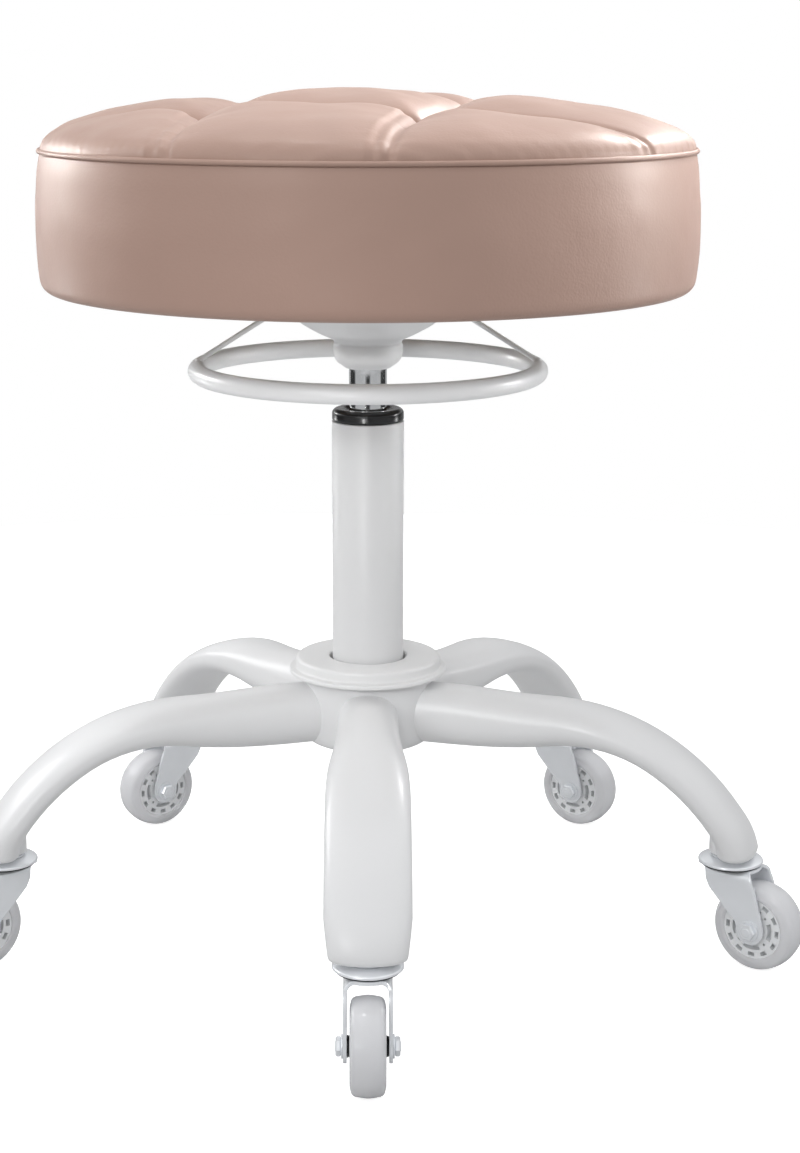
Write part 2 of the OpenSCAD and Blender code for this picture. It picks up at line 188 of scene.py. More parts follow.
def apply_modifiers(thing):
    """Turns a piece's modifiers into its mesh."""
    graph = bpy.context.evaluated_depsgraph_get()
    mesh = bpy.data.meshes.new_from_object(thing.evaluated_get(graph))
    thing.modifiers.clear()
    thing.data = mesh


# ---- materials ---------------------------------------------------------------


class Look:
    """A Principled material and short ways to add texture to it."""

    def __init__(self, name, colour, roughness, **constants):
        self.material = bpy.data.materials.new(name)
        self.material.use_nodes = True
        self.tree = self.material.node_tree
        self.shader = self.tree.nodes["Principled BSDF"]
        self.colour = colour
        self.shader.inputs["Base Color"].default_value = (*colour, 1)
        self.shader.inputs["Roughness"].default_value = roughness
        for key, value in constants.items():
            self.shader.inputs[key.replace("_", " ")].default_value = value
        self.where = self.tree.nodes.new("ShaderNodeTexCoord").outputs["Object"]
        self.normal = None

    def add(self, kind, settings=(), **inputs):
        made = self.tree.nodes.new(kind)
        for key, value in dict(settings).items():
            setattr(made, key, value)
        for key, value in inputs.items():
            socket = made.inputs[key.replace("_", " ")]
            if isinstance(value, bpy.types.NodeSocket):
                self.tree.links.new(value, socket)
            else:
                socket.default_value = value
        return made

    def noise(self, scale, detail=3.0, stretch=None):
        where = self.where
        if stretch:
            where = self.add("ShaderNodeMapping", Vector=where, Scale=stretch).outputs["Vector"]
        return self.add("ShaderNodeTexNoise", Vector=where, Scale=scale, Detail=detail).outputs["Fac"]

    def cells(self, scale, feature="F1"):
        made = self.add("ShaderNodeTexVoronoi", {"feature": feature}, Vector=self.where, Scale=scale)
        return made.outputs["Distance"]

    def spread(self, value, low, high, to_low, to_high):
        made = self.add("ShaderNodeMapRange", Value=value, From_Min=low, From_Max=high, To_Min=to_low,
                        To_Max=to_high)
        return made.outputs["Result"]

    def tint(self, value, dark, light):
        """Base colour that runs from dark to light times the look's own colour."""
        made = self.add("ShaderNodeMix", {"data_type": "RGBA"})
        self.tree.links.new(value, made.inputs["Factor"])
        for socket, gain in ((made.inputs[6], dark), (made.inputs[7], light)):
            socket.default_value = (*[c * gain for c in self.colour], 1)
        self.tree.links.new(made.outputs[2], self.shader.inputs["Base Color"])

    def rough(self, value, low, high):
        """Roughness that follows a texture between two values."""
        self.tree.links.new(self.spread(value, 0.15, 0.85, low, high), self.shader.inputs["Roughness"])

    def bump(self, height, strength, distance):
        """Adds a layer of bumps on top of those already there."""
        inputs = {"Height": height, "Strength": strength, "Distance": distance}
        if self.normal is not None:
            inputs["Normal"] = self.normal
        self.normal = self.add("ShaderNodeBump", **inputs).outputs["Normal"]
        self.tree.links.new(self.normal, self.shader.inputs["Normal"])


def leather(name, colour, low, high):
    """Smooth coated leather: fine pebble, softer creasing under it, faint mottling."""
    look = Look(name, colour, 0.4, Specular_IOR_Level=0.45, Specular_Tint=(1.0, 0.80, 0.70, 1),
                Coat_Weight=0.05, Coat_Roughness=0.25)
    look.bump(look.noise(55, 4), 0.35, 0.0007)
    look.bump(look.cells(720, "SMOOTH_F1"), 0.28, 0.00022)
    look.bump(look.noise(2300, 2), 0.16, 0.0001)
    look.tint(look.noise(14, 5), 0.955, 1.045)
    look.rough(look.noise(38, 4), low, high)
    return look.material


def enamel(name, colour, low, high, coat):
    """Painted metal: a faint orange peel under a hard gloss."""
    look = Look(name, colour, 0.3, Coat_Weight=coat, Coat_Roughness=0.16)
    look.bump(look.noise(300, 1), 0.10, 0.00008)
    look.tint(look.noise(9, 2), 0.98, 1.01)
    look.rough(look.noise(12, 2), low, high)
    return look.material


def metal(name, colour, low, high, scale, stretch, depth, metallic=1.0):
    """Bare or plated metal with drawn lines or blotches."""
    look = Look(name, colour, 0.3, Metallic=metallic)
    look.bump(look.noise(scale, 4, stretch), 0.25, depth)
    look.tint(look.noise(scale * 0.3, 4, stretch), 0.9, 1.05)
    look.rough(look.noise(scale * 0.5, 4, stretch), low, high)
    return look.material


def plastic(name, colour, low, high, scale, depth, **constants):
    """Moulded plastic or rubber with a fine spark-eroded grain."""
    look = Look(name, colour, 0.4, **constants)
    look.bump(look.noise(scale, 3), 0.3, depth)
    look.tint(look.noise(scale * 0.05, 4), 0.94, 1.05)
    look.rough(look.noise(scale * 0.1, 3), low, high)
    return look.material


def plywood(name, colour):
    """Bare plywood with a long grain."""
    look = Look(name, colour, 0.6)
    grain = look.noise(26, 6, (1.0, 9.0, 40.0))
    look.bump(grain, 0.3, 0.0003)
    look.tint(grain, 0.72, 1.15)
    look.rough(look.noise(60, 3), 0.5, 0.7)
    return look.material


def felt(name, colour, scale):
    """Open-pored or matted soft stuff: the foam and the dust cover."""
    look = Look(name, colour, 0.9, Sheen_Weight=0.3)
    look.bump(look.cells(scale), 0.5, 0.0004)
    look.bump(look.noise(scale * 2.5, 4), 0.4, 0.0003)
    look.tint(look.noise(scale * 0.2, 5), 0.8, 1.25)
    look.rough(look.noise(scale * 0.4, 3), 0.82, 0.98)
    return look.material


SKIN = (0.385, 0.256, 0.210)
# the two numbers after each colour are the least and the greatest roughness
looks = {
    "leather_top": leather("leather_top", SKIN, 0.40, 0.52),
    "leather_band": leather("leather_band", SKIN, 0.43, 0.54),
    "white_enamel": enamel("white_enamel", (0.78, 0.78, 0.785), 0.29, 0.34, 0.15),
    "white_cap": enamel("white_cap", (0.80, 0.80, 0.80), 0.29, 0.33, 0.15),
    "column_enamel": enamel("column_enamel", (0.72, 0.72, 0.725), 0.32, 0.40, 0.05),
    "chrome": metal("chrome", (0.84, 0.85, 0.86), 0.05, 0.12, 900, (1, 1, 0.05), 0.00001),
    "zinc": metal("zinc", (0.90, 0.92, 0.95), 0.20, 0.27, 140, (1, 1, 1), 0.00003, 0.45),
    "plate_steel": plastic("plate_steel", (0.020, 0.020, 0.022), 0.35, 0.5, 900, 0.0001),
    "inner_steel": metal("inner_steel", (0.62, 0.63, 0.65), 0.29, 0.4, 500, (1, 1, 0.2), 0.00005),
    "black_plastic": plastic("black_plastic", (0.012, 0.012, 0.013), 0.20, 0.26, 1100, 0.00005),
    "rubber": plastic("rubber", (0.018, 0.018, 0.018), 0.6, 0.8, 700, 0.0001),
    "clear_tyre": plastic("clear_tyre", (0.95, 0.95, 0.97), 0.14, 0.24, 500, 0.00003,
                          Transmission_Weight=0.42, IOR=1.40),
    "grey_core": plastic("grey_core", (0.86, 0.87, 0.88), 0.35, 0.5, 800, 0.00006),
    "plywood": plywood("plywood", (0.55, 0.38, 0.21)),
    "foam": felt("foam", (0.80, 0.70, 0.42), 1400),
    "dust_fabric": felt("dust_fabric", (0.016, 0.016, 0.017), 900),
    "brass": metal("brass", (0.74, 0.52, 0.22), 0.29, 0.36, 400, (1, 1, 0.2), 0.00004),
}
for part in frame["record"]["subparts"]:
    materials = frame["nodes"][part["node"]].data.materials
    materials.clear()
    materials.append(looks[part["material_slot"]])


# ---- camera and light --------------------------------------------------------

scene.view_settings.view_transform = "Standard"

# place, aim, width, height, power in watts and cone in degrees; most cones are narrow, so that each light
# reaches one part of the stool and spills little on the rest
LIGHTS = {
    "light_back_left": ((-1.4, 1.05, 0.75), (-0.1, 0, 0.51), 0.6, 0.3, 0.33, 20),
    "light_back_right": ((1.65, 0.38, 0.75), (0.1, 0, 0.51), 0.6, 0.3, 0.50, 20),
    "light_glow_left": ((-1.35, 1.0, 0.12), (-0.1, 0, 0.50), 0.5, 0.35, 0.06, 13),
    "light_glow_right": ((1.6, 0.4, 0.12), (0.1, 0, 0.50), 0.5, 0.35, 0.10, 13),
    "light_shoulder": ((0.65, 0.6, 1.05), (0.1, -0.05, 0.56), 0.4, 0.35, 0.42, 20),
    "light_front": ((-0.9, -1.5, 1.0), (0, 0, 0.42), 0.8, 0.8, 0.50, 32),
    "light_hub": ((-0.25, -1.5, 0.9), (0, 0, 0.18), 0.2, 0.2, 0.026, 12),
    "light_above": ((-0.3, 0.3, 2.1), (0, 0, 0.53), 0.5, 0.5, 0.21, 18),
    "light_under_seat": ((-0.35, -1.5, 0.06), (0, 0, 0.36), 0.2, 0.1, 0.024, 11),
    "light_low_left": ((-1.3, 0.5, 0.8), (0, 0, 0.2), 0.7, 0.5, 4.5, 180),
    "light_low_right": ((1.3, 0.6, 0.8), (0, 0, 0.2), 0.7, 0.5, 0.3, 180),
}
SIDE_GLOW, TOP_GLOW = 0.48, 1.08
# dark gaps in the tent: middle and half width in degrees round the stool, 0 being the front
GAPS = [(-2, 15), (-108, 26), (108, 26)]
FLOOR_R = 1.3


def photo_camera():
    """The camera fitted to the photo: just above the seat, in front, looking a little down."""
    data = bpy.data.cameras.new("camera")
    data.lens = 68.3
    data.shift_x = 0.0278
    camera = bpy.data.objects.new("camera", data)
    camera.location = (0, -1.35, 0.547)
    camera.rotation_euler = (math.radians(90 - 13.3), 0, 0)
    scene.collection.objects.link(camera)
    scene.camera = camera


def area_light(name, location, target, width, height, power, cone):
    data = bpy.data.lights.new(name, "AREA")
    data.shape = "RECTANGLE"
    data.spread = math.radians(cone)
    data.size, data.size_y, data.energy = width, height, power
    lamp = bpy.data.objects.new(name, data)
    lamp.location = location
    lamp.rotation_euler = (Vector(target) - Vector(location)).to_track_quat("-Z", "Y").to_euler()
    scene.collection.objects.link(lamp)


def tent_world():
    """A tent of soft light, dimmer at the sides, with the dark gaps that bright metal shows as bands."""
    world = bpy.data.worlds.new("world")
    world.use_nodes = True
    scene.world = world
    tree = world.node_tree

    def maths(operation, *values):
        made = tree.nodes.new("ShaderNodeMath")
        made.operation = operation
        for socket, value in zip(made.inputs, values):
            if isinstance(value, bpy.types.NodeSocket):
                tree.links.new(value, socket)
            else:
                socket.default_value = value
        return made.outputs[0]

    def ease(value, low, high, to_low, to_high):
        made = tree.nodes.new("ShaderNodeMapRange")
        made.interpolation_type = "SMOOTHSTEP"
        tree.links.new(value, made.inputs["Value"])
        for key, number in (("From Min", low), ("From Max", high), ("To Min", to_low), ("To Max", to_high)):
            made.inputs[key].default_value = number
        return made.outputs["Result"]

    axes = tree.nodes.new("ShaderNodeSeparateXYZ")
    tree.links.new(tree.nodes.new("ShaderNodeTexCoord").outputs["Generated"], axes.inputs["Vector"])
    azimuth = maths("ARCTAN2", axes.outputs["X"], maths("MULTIPLY", axes.outputs["Y"], -1.0))
    strength = ease(axes.outputs["Z"], 0.0, 0.8, SIDE_GLOW, TOP_GLOW)
    belt = ease(maths("ABSOLUTE", maths("ADD", axes.outputs["Z"], 0.16)), 0.15, 0.22, 1.0, 0.0)
    for middle, half in GAPS:
        away = maths("ABSOLUTE", maths("SUBTRACT", azimuth, math.radians(middle)))
        gap = ease(away, math.radians(half - 7), math.radians(half + 5), 0.92, 0.0)
        strength = maths("MULTIPLY", strength, maths("SUBTRACT", 1.0, maths("MULTIPLY", gap, belt)))
    ambient = tree.nodes["Background"]
    ambient.inputs["Color"].default_value = (0.98, 0.99, 1, 1)
    tree.links.new(strength, ambient.inputs["Strength"])
    # the camera sees plain white instead
    backdrop = tree.nodes.new("ShaderNodeBackground")
    backdrop.inputs["Color"].default_value = (1, 1, 1, 1)
    choose = tree.nodes.new("ShaderNodeMixShader")
    camera_ray = tree.nodes.new("ShaderNodeLightPath").outputs["Is Camera Ray"]
    tree.links.new(camera_ray, choose.inputs["Fac"])
    tree.links.new(ambient.outputs["Background"], choose.inputs[1])
    tree.links.new(backdrop.outputs["Background"], choose.inputs[2])
    tree.links.new(choose.outputs["Shader"], tree.nodes["World Output"].inputs["Surface"])


def studio_floor():
    """A pale disc that glows for the camera only; from underneath it is clear, so the stool can be seen."""
    look = Look("studio_floor", (0.55, 0.55, 0.55), 0.7)
    look.shader.inputs["Emission Color"].default_value = (1, 1, 1, 1)
    glow = look.spread(look.add("ShaderNodeLightPath").outputs["Is Camera Ray"], 0, 1, 0.0, 0.80)
    look.tree.links.new(glow, look.shader.inputs["Emission Strength"])
    look.tint(look.noise(2, 2), 0.995, 1.005)
    below = look.add("ShaderNodeNewGeometry").outputs["Backfacing"]
    clear = look.add("ShaderNodeBsdfTransparent").outputs["BSDF"]
    choose = look.add("ShaderNodeMixShader", Fac=below)
    look.tree.links.new(look.shader.outputs["BSDF"], choose.inputs[1])
    look.tree.links.new(clear, choose.inputs[2])
    look.tree.links.new(choose.outputs["Shader"], look.tree.nodes["Material Output"].inputs["Surface"])
    mesh = bpy.data.meshes.new("studio_floor")
    mesh.from_pydata([(x, y, 0) for x, y in circle(0, 0, FLOOR_R, 72)], [], [tuple(range(72))])
    mesh.materials.append(look.material)
    floor = bpy.data.objects.new("studio_floor", mesh)
    scene.collection.objects.link(floor)


photo_camera()
for light_name, settings in LIGHTS.items():
    area_light(light_name, *settings)
tent_world()
studio_floor()


# ---- cushion -----------------------------------------------------------------

cover_low, cover_high = box_mm("seat_top_cover")
piping_low, piping_high = box_mm("seat_piping")
SEAM_Z = cover_low.z + 1.5
CROWN = cover_high.z - SEAM_Z
RIM = cover_high.x + 1.6

# The four tufts, the pulled lines between them and those out to the rim, and which of the last are pleats.
TUFTS = {"a": (-92, -52), "b": (-64, 72), "c": (32, -88), "d": (70, 36)}
INNER = [("a", "b"), ("c", "d"), ("a", "c"), ("b", "d")]
OUTER = [
    ("a", (-109, -165)), ("a", (-196, -22)), ("b", (-170, 102)), ("b", (-50, 192)),
    ("c", (9, -198)), ("c", (158, -120)), ("d", (196, -12)), ("d", (113, 163)),
]
PLEATS = {("a", 0), ("c", 4), ("c", 5)}
TUFT_PULL, MOST_PUFF = 15.0, 7.0
CLOTH_FRAMES = 20


def along(x, y, start, end):
    """Share of the way along a line, and the signed distance off it, for arrays of points."""
    sx, sy = start
    dx, dy = end[0] - sx, end[1] - sy
    length = math.hypot(dx, dy)
    t = ((x - sx) * dx + (y - sy) * dy) / length**2
    inside = np.clip(t, 0, 1)
    off = np.hypot(x - sx - inside * dx, y - sy - inside * dy)
    side = np.sign((x - sx) * dy - (y - sy) * dx)
    return inside, off, side


def crease_lines():
    """Start, end, and depth at the start, at the end and in the middle of every pulled line."""
    for first, last in INNER:
        yield TUFTS[first], TUFTS[last], TUFT_PULL, TUFT_PULL, 8.0
    for first, end in OUTER:
        yield TUFTS[first], end, TUFT_PULL, 2.5, 7.0


def pulled_depth(x, y, width=56.0, sharpness=2.4):
    """How far the pulls draw the cover down at each point, in millimetres."""
    total = np.zeros_like(x)
    for start, end, d0, d1, middle in crease_lines():
        t, off, _ = along(x, y, start, end)
        depth = (1 - t) ** 2 * d0 + 2 * t * (1 - t) * middle + t * t * d1
        total += (depth * np.clip(1 - off / width, 0, 1) ** sharpness) ** 4
    total = total**0.25
    for px, py in TUFTS.values():
        total += 4.0 * np.exp(-((x - px) ** 2 + (y - py) ** 2) / 9.0**2)
    return total


def crease_distance(x, y):
    nearest = np.full_like(x, 1e3)
    for start, end, *_ in crease_lines():
        nearest = np.minimum(nearest, along(x, y, start, end)[1])
    return nearest


def crown_height(r):
    """Height of the plain crown at a distance from the axis."""
    share = np.clip(1 - (r / RIM) ** 2, 0, 1)
    return SEAM_Z - 1.5 + (CROWN - 3.5) * share**0.4


def cushion_start():
    """The closed form before it is blown up: crown, rim and a flat bottom inside the band."""
    radii = [RIM * math.sin(math.radians(a)) for a in np.linspace(0, 90, 56)]
    bottom = SEAM_Z - 15
    rings, turns = [], 192
    angles = [2 * math.pi * i / turns for i in range(turns)]
    for r in radii[1:]:
        x = np.array([r * math.cos(a) for a in angles])
        y = np.array([r * math.sin(a) for a in angles])
        z = crown_height(np.hypot(x, y)) - 0.62 * pulled_depth(x, y) * np.clip((RIM - r) / 12, 0, 1)
        rings.append(list(zip(x, y, z)))
    for r in (RIM - 2.5, RIM - 60, 20):
        rings.append([(r * math.cos(a), r * math.sin(a), bottom) for a in angles])
    points, faces = loft(rings, closed_ends=False)
    centre = len(points)
    top = float(crown_height(np.array([0.0]))[0] - 0.62 * pulled_depth(np.zeros(1), np.zeros(1))[0])
    points = [*points, (0, 0, top), (0, 0, bottom)]
    last = centre - turns
    for i in range(turns):
        j = (i + 1) % turns
        faces += [(centre, j, i), (centre + 1, last + i, last + j)]
    return points, faces


def coordinates(mesh):
    flat = np.empty(len(mesh.vertices) * 3)
    mesh.vertices.foreach_get("co", flat)
    return flat.reshape(-1, 3)


def inflate(thing, cap):
    """Blows the cover up between its pinned lines with cloth, moving no point more than cap."""
    before = coordinates(thing.data)
    x, y, z = (before / MM).T
    radius = np.hypot(x, y)
    held = np.clip((14 - crease_distance(x, y)) / 9, 0, 1)
    held = np.maximum(held, np.clip((radius - RIM + 16) / 12, 0, 1))
    held = np.maximum(held, np.where(z < SEAM_Z - 6, 1, 0))
    group = thing.vertex_groups.new(name="held")
    for i, weight in enumerate(held):
        if weight > 0:
            group.add([i], float(weight), "REPLACE")
    cloth = thing.modifiers.new("blow_up", "CLOTH")
    cloth.settings.quality = 4
    cloth.settings.use_pressure = True
    cloth.settings.uniform_pressure_force = 4
    cloth.settings.effector_weights.gravity = 0
    cloth.settings.vertex_group_mass = "held"
    cloth.point_cache.frame_start, cloth.point_cache.frame_end = 1, CLOTH_FRAMES
    for step in range(1, CLOTH_FRAMES + 1):
        scene.frame_set(step)
    apply_modifiers(thing)
    scene.frame_set(1)
    shift = coordinates(thing.data) - before
    size = np.linalg.norm(shift, axis=1)
    shift *= (np.minimum(size, cap * MM) / np.maximum(size, 1e-9))[:, None]
    thing.data.vertices.foreach_set("co", (before + shift).ravel())


def carve(thing):
    """Draws the creases, the folded pleats and the slow waves of the leather into the fine mesh."""
    mesh = thing.data
    points = coordinates(mesh)
    x, y, z = (points / MM).T
    normals = np.empty(len(mesh.vertices) * 3)
    mesh.vertices.foreach_get("normal", normals)
    normals = normals.reshape(-1, 3)
    radius = np.hypot(x, y)
    shown = np.clip((z - SEAM_Z + 4) / 6, 0, 1)
    inside = np.clip((RIM - radius) / 10, 0, 1)
    drop = 0.38 * pulled_depth(x, y, 30, 2.0) * inside
    # narrow valley along every pull
    for start, end, d0, d1, _ in crease_lines():
        t, off, _ = along(x, y, start, end)
        strength = (d0 / TUFT_PULL) * (1 - t) + (d1 / TUFT_PULL) * t
        drop += 2.6 * strength * np.exp(-((off / 4.5) ** 2))
    # flat folds: a raised lip that drops sharply on one side, twice
    for index, (first, end) in enumerate(OUTER):
        if (first, index) not in PLEATS:
            continue
        t, off, side = along(x, y, TUFTS[first], end)
        grow = np.clip(t * 8, 0, 1)
        signed = off * side
        for place, height in ((0.0, 1.5), (8.5, 0.9)):
            s = signed - place
            drop += height * grow * (np.exp(-(((s + 1.6) / 2.4) ** 2)) - 0.8 * np.exp(-np.abs(s - 3) / 7))
    waves = np.array([noise.noise(Vector((a, b, 0.0)) * 0.021)
                      + 0.5 * noise.noise(Vector((a, b, 9.0)) * 0.05) for a, b in zip(x, y)])
    drop += 1.3 * waves * inside
    points -= normals * (drop * shown * MM)[:, None]
    mesh.vertices.foreach_set("co", points.ravel())
    work = bmesh.new()
    work.from_mesh(mesh)
    for _ in range(2):
        bmesh.ops.smooth_vert(work, verts=work.verts, factor=0.5,
                              use_axis_x=True, use_axis_y=True, use_axis_z=True)
    work.to_mesh(mesh)
    work.free()


cushion = piece("cushion_top", cushion_start(), "leather_top", "seat", ("seat_top_cover", "seat_foam"), 180)
remesh = cushion.modifiers.new("even", "REMESH")
remesh.mode = "VOXEL"
remesh.voxel_size = 0.005
remesh.use_smooth_shade = True
apply_modifiers(cushion)
inflate(cushion, MOST_PUFF)
finer = cushion.modifiers.new("finer", "SUBSURF")
finer.levels = finer.render_levels = 2
apply_modifiers(cushion)
carve(cushion)
cushion.data.shade_smooth()

# The side band: leather pulled round the edge of the board, slightly wavy, tucked under.
band_low, band_high = box_mm("seat_side_band")
BAND_R = band_high.x - 2


def band_shape():
    """The band's outline turned round the axis, then pushed about by slow waves and small gathers."""
    outline = rounded(
        [(BAND_R - 10, band_high.z + 0.6), (BAND_R - 2.7, band_high.z + 0.6), (BAND_R - 0.9, band_high.z - 9),
         (BAND_R + 1.4, band_high.z - 36), (BAND_R + 1.0, band_low.z + 20), (BAND_R - 1.4, band_low.z),
         (BAND_R - 25, band_low.z), (BAND_R - 25, band_low.z + 2.5), (BAND_R - 8, band_low.z + 3)],
        [1, 1.5, 8, 20, 12, 8, 0.8, 0.8, 4], 8)
    dense = []
    for i, (r, z) in enumerate(outline):
        r2, z2 = outline[(i + 1) % len(outline)]
        count = max(1, int(math.hypot(r2 - r, z2 - z) / 3))
        dense += [(r + (r2 - r) * k / count, z + (z2 - z) * k / count) for k in range(count)]
    points, faces = spin(dense, 480)
    out = []
    for x, y, z in points:
        r, a = math.hypot(x, y), math.atan2(y, x)
        share = (z - band_low.z) / (band_high.z - band_low.z)
        on_side = min(1, max(0, (r - BAND_R + 4) / 3)) * math.sin(math.pi * min(1, max(0, share)))
        around = Vector((math.cos(a) * 2.6, math.sin(a) * 2.6, z * 0.02))
        wave = 0.9 * noise.noise(around) + 0.35 * noise.noise(around * 3.1)
        push = wave * on_side
        # gathers where the leather turns under the board
        if z < band_low.z + 1.5 and r < BAND_R - 10:
            fold = math.sin(a * 64 + 4 * noise.noise(around * 2))
            z += 0.45 * fold * min(1, (BAND_R - 10 - r) / 6)
        out.append((x + push * math.cos(a), y + push * math.sin(a), z))
    return out, faces


piece("seat_band", band_shape(), "leather_band", "seat", ("seat_side_band",), 60)
piping_r = (piping_high.z - piping_low.z) / 2
piping_centre = (piping_high.x - piping_r, (piping_high.z + piping_low.z) / 2)
welt = circle(*piping_centre, piping_r, 24)
piece("seat_welt", spin(welt, 360), "leather_band", "seat", ("seat_piping",))


# ---- lift --------------------------------------------------------------------

CYLINDER_BORE = 11.85  # a loose fit round the lift cylinder


def bell_shape():
    """A shallow bell with a cup under it, open through the middle for the cylinder."""
    bottom, top = (corner.z for corner in box_mm("bell_housing"))
    outline = rounded([
        (CYLINDER_BORE, bottom), (13.6, bottom), (19.6, bottom + 4.2), (21.5, bottom + 8.5),
        (21.5, bottom + 14.6), (20.5, bottom + 16.2), (22.2, bottom + 18.2), (29, bottom + 21),
        (40, bottom + 27), (51, bottom + 35), (61.5, bottom + 44.5), (62, top), (59, top),
        (56.5, bottom + 42), (47, bottom + 35),
        (36.5, bottom + 28), (25.5, bottom + 23.5), (14.5, bottom + 22), (14.5, bottom + 30),
        (CYLINDER_BORE, bottom + 30)],
        [0.5, 2.5, 3, 3, 1.5, 1, 2.5, 5, 5, 5, 0.8, 0.6, 0.6, 3, 4, 4, 4, 1, 0.5, 0.5], 5)
    return spin(outline, 160)


def cut_spoke_slots(thing):
    """Cuts the two slots that the spokes of the ring pass through."""
    mesh = bpy.data.meshes.new("slot_cutter")
    work = bmesh.new()
    for side in (-1, 1):
        place = Matrix.Translation((side * 0.052, 0, 0.4045)) @ Matrix.Diagonal((0.044, 0.010, 0.034, 1))
        bmesh.ops.create_cube(work, size=1, matrix=place)
    work.to_mesh(mesh)
    work.free()
    cutter = bpy.data.objects.new("slot_cutter", mesh)
    scene.collection.objects.link(cutter)
    cut = thing.modifiers.new("slots", "BOOLEAN")
    cut.operation, cut.solver, cut.object = "DIFFERENCE", "EXACT", cutter
    apply_modifiers(thing)
    bpy.data.objects.remove(cutter)


bell = piece("bell_cup", bell_shape(), "white_enamel", "seat", ("bell_housing",), 45)
cut_spoke_slots(bell)

low, high = box_mm("gas_cylinder")
cylinder = rounded([
    (10.2, low.z), (high.x, low.z), (high.x, high.z), (3.1, high.z), (3.1, high.z - 3), (10.2, high.z - 3)],
    [0.2, 0.8, 1.2, 0.3, 0, 0], 4)
piece("chrome_cylinder", spin(cylinder, 96), "chrome", "seat", ("gas_cylinder",))

low, high = box_mm("column_tube")
COLUMN_R = high.x
COLUMN_BORE = COLUMN_R - 2
column = [(COLUMN_BORE, low.z), (COLUMN_R, low.z), (COLUMN_R, high.z), (COLUMN_BORE, high.z)]
column = rounded(column, [0, 0, 0.6, 0.3], 4)
piece("column_tube_skin", spin(column, 128), "column_enamel", "base", ("column_tube",))

bush_top = box_mm("guide_bush")[1].z
SLEEVE_R = COLUMN_BORE - 0.02
bush = rounded([
    (CYLINDER_BORE, high.z - 56), (SLEEVE_R, high.z - 56), (SLEEVE_R, high.z + 0.4),
    (COLUMN_R - 0.8, high.z + 0.4), (COLUMN_R - 0.1, high.z + 1.2), (COLUMN_R - 0.1, bush_top - 2),
    (COLUMN_R - 2.2, bush_top),
    (15.5, bush_top), (13.6, bush_top - 1.6), (CYLINDER_BORE, bush_top - 1.6)],
    [0, 0, 0, 0.4, 0.6, 1.2, 1.4, 1.0, 0.5, 0.3], 4)
piece("guide_collar", spin(bush, 128), "black_plastic", "base", ("guide_bush",))


# ---- release ring ------------------------------------------------------------

low, high = box_mm("release_ring")
TUBE = (high.z - low.z) / 2
RING_R = high.x - TUBE
RING_Z = (high.z + low.z) / 2
ring = spin(circle(RING_R, RING_Z, TUBE, 36), 200)
piece("ring_handle", ring, "white_enamel", "release", ("release_ring",))

disc_low, disc_high = box_mm("rocker_disc")
ELBOW_R = 46
spokes = []
for side in (-1, 1):
    root = (side * (disc_high.x - 1), 0, (disc_low.z + disc_high.z) / 2)
    elbow = (side * ELBOW_R, 0, root[2])
    foot = (side * (RING_R - 0.5), 0, RING_Z + TUBE * 0.9)
    slope = (Vector(elbow) - Vector(foot)).normalized()
    spokes += [rod(root, elbow, 1.5), blob(elbow, (1.75, 1.75, 1.75)), rod(elbow, foot, 1.6),
               blob(Vector(foot) + slope * 0.7, (2.9, 2.7, 1.9)),
               blob(Vector(root) + Vector((side * 1.2, 0, 0)), (2.6, 2.8, 1.3))]
piece("ring_spoke_rods", joined(*spokes), "white_enamel", "release", ("ring_spokes",))


# ---- base --------------------------------------------------------------------

hub_low, hub_high = box_mm("hub_body")
cap_low, cap_high = box_mm("hub_cover")
HUB_R, CAP_R = hub_high.x, cap_high.x
hub = rounded([
    (COLUMN_R, hub_low.z + 9), (16, hub_low.z + 9), (16, hub_low.z), (HUB_R - 1.5, hub_low.z),
    (HUB_R - 0.4, hub_low.z + 14), (HUB_R - 0.6, hub_high.z - 8), (HUB_R, hub_high.z),
    (COLUMN_R, hub_high.z)],
    [0, 0.4, 0.8, 7, 6, 4, 0.6, 0.4], 7)
piece("hub_casting", spin(hub, 160), "white_enamel", "base", ("hub_body",))
cap = rounded([
    (COLUMN_R + 0.1, cap_low.z), (CAP_R, cap_low.z), (CAP_R, cap_low.z + 2.8), (CAP_R - 3.6, cap_low.z + 3.3),
    (CAP_R - 4.2, cap_low.z + 4.2), (CAP_R - 4.2, cap_high.z), (COLUMN_R + 1.8, cap_high.z),
    (COLUMN_R + 1.8, cap_low.z + 3), (COLUMN_R + 0.1, cap_low.z + 3)],
    [0.3, 0.9, 1.1, 0.6, 0.5, 4.6, 1.4, 0.3, 0.3], 7)
piece("hub_cap", spin(cap, 160), "white_cap", "base", ("hub_cover",), 50)


def ramp(x, a, b):
    """0 before a, 1 after b, and a smooth rise between."""
    t = min(1, max(0, (x - a) / (b - a)))
    return t * t * (3 - 2 * t)


LEG_TOP, LEG_DROP = 161.5, 3.0
LEG_DEPTH, TIP_DEPTH = 38.0, 20.5
LEG_WIDTH, TIP_WIDTH, TIP_TAPER = 38.0, 49.0, 4.5
BEND_R, BEND_X, BEND_ANGLE = 150.0, 118.0, 54
joints = {j["name"]: j for j in frame["joints"]}
CASTER_X = math.hypot(*[v / MM for v in joints["caster_swivel_front"]["pos_m"][:2]])
TIP_Z = box_mm("leg_front")[0].z


def leg_depth(x):
    return LEG_DEPTH + (TIP_DEPTH - LEG_DEPTH) * ramp(x, HUB_R + 8, 195)


def leg_width(x):
    return LEG_WIDTH + (TIP_WIDTH - LEG_WIDTH) * ramp(x, HUB_R + 8, 175)


